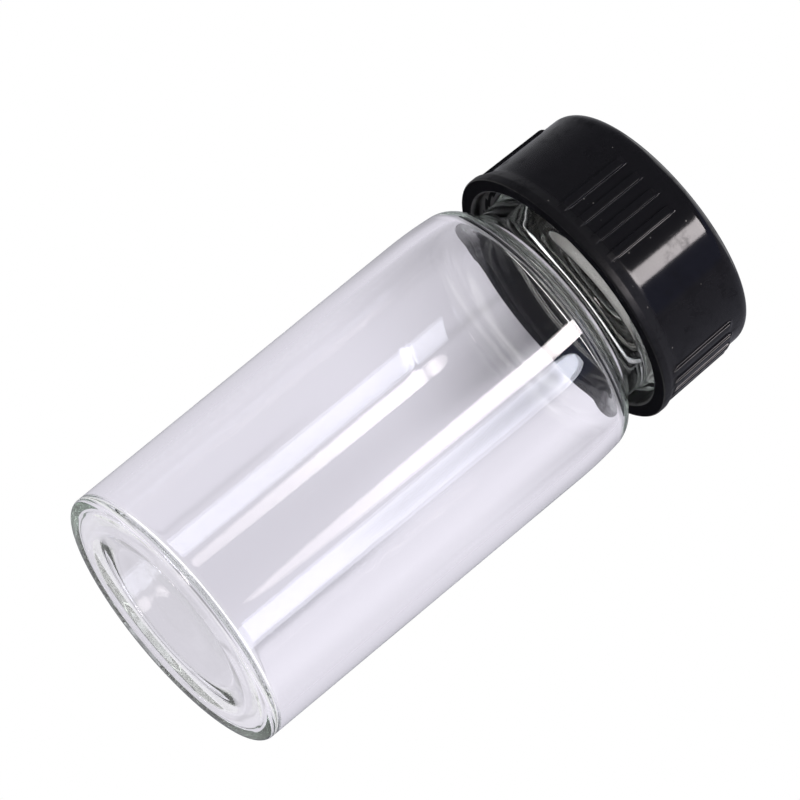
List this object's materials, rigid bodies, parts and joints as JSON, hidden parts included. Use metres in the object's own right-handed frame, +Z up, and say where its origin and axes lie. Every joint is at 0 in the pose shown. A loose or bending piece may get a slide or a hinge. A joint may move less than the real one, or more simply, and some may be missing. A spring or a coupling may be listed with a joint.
{
  "type": "glass sample vial",
  "caption": "Clear glass screw-neck sample vial with a straight barrel and short shoulder, closed by a black ribbed screw cap with a sealing disc inside.",
  "frame": {"origin": "middle of the base, in the plane that the vial stands on", "axes": "+Z up the vial's axis, from the base to the cap; the cap's grip ribs stand as in the picture when -Y faces the viewer"},
  "size_m": [0.0274, 0.0274, 0.0602],
  "materials": {
    "clear_glass": "clear, fire polished",
    "black_plastic": "gloss black, moulded",
    "liner_foam": "off-white closed-cell foam, smooth skin"
  },
  "bodies": {
    "vial": {"glass_vial": "clear_glass"},
    "liner": {"cap_liner": "liner_foam"},
    "cap": {"screw_cap": "black_plastic"}
  },
  "joints": [
    {"name": "cap_lift", "type": "slide", "parent": "vial", "child": "liner", "axis": [0, 0, 1], "range_m": [0, 0.0127]},
    {"name": "cap_turn", "type": "hinge", "parent": "liner", "child": "cap", "pos_m": [0, 0, 0.055], "axis": [0, 0, 1], "range_deg": [0, 1440]}
  ],
  "couplings": [
    {"joint": "cap_lift", "follows": "cap_turn", "m_per_rad": 0.0005053}
  ]
}
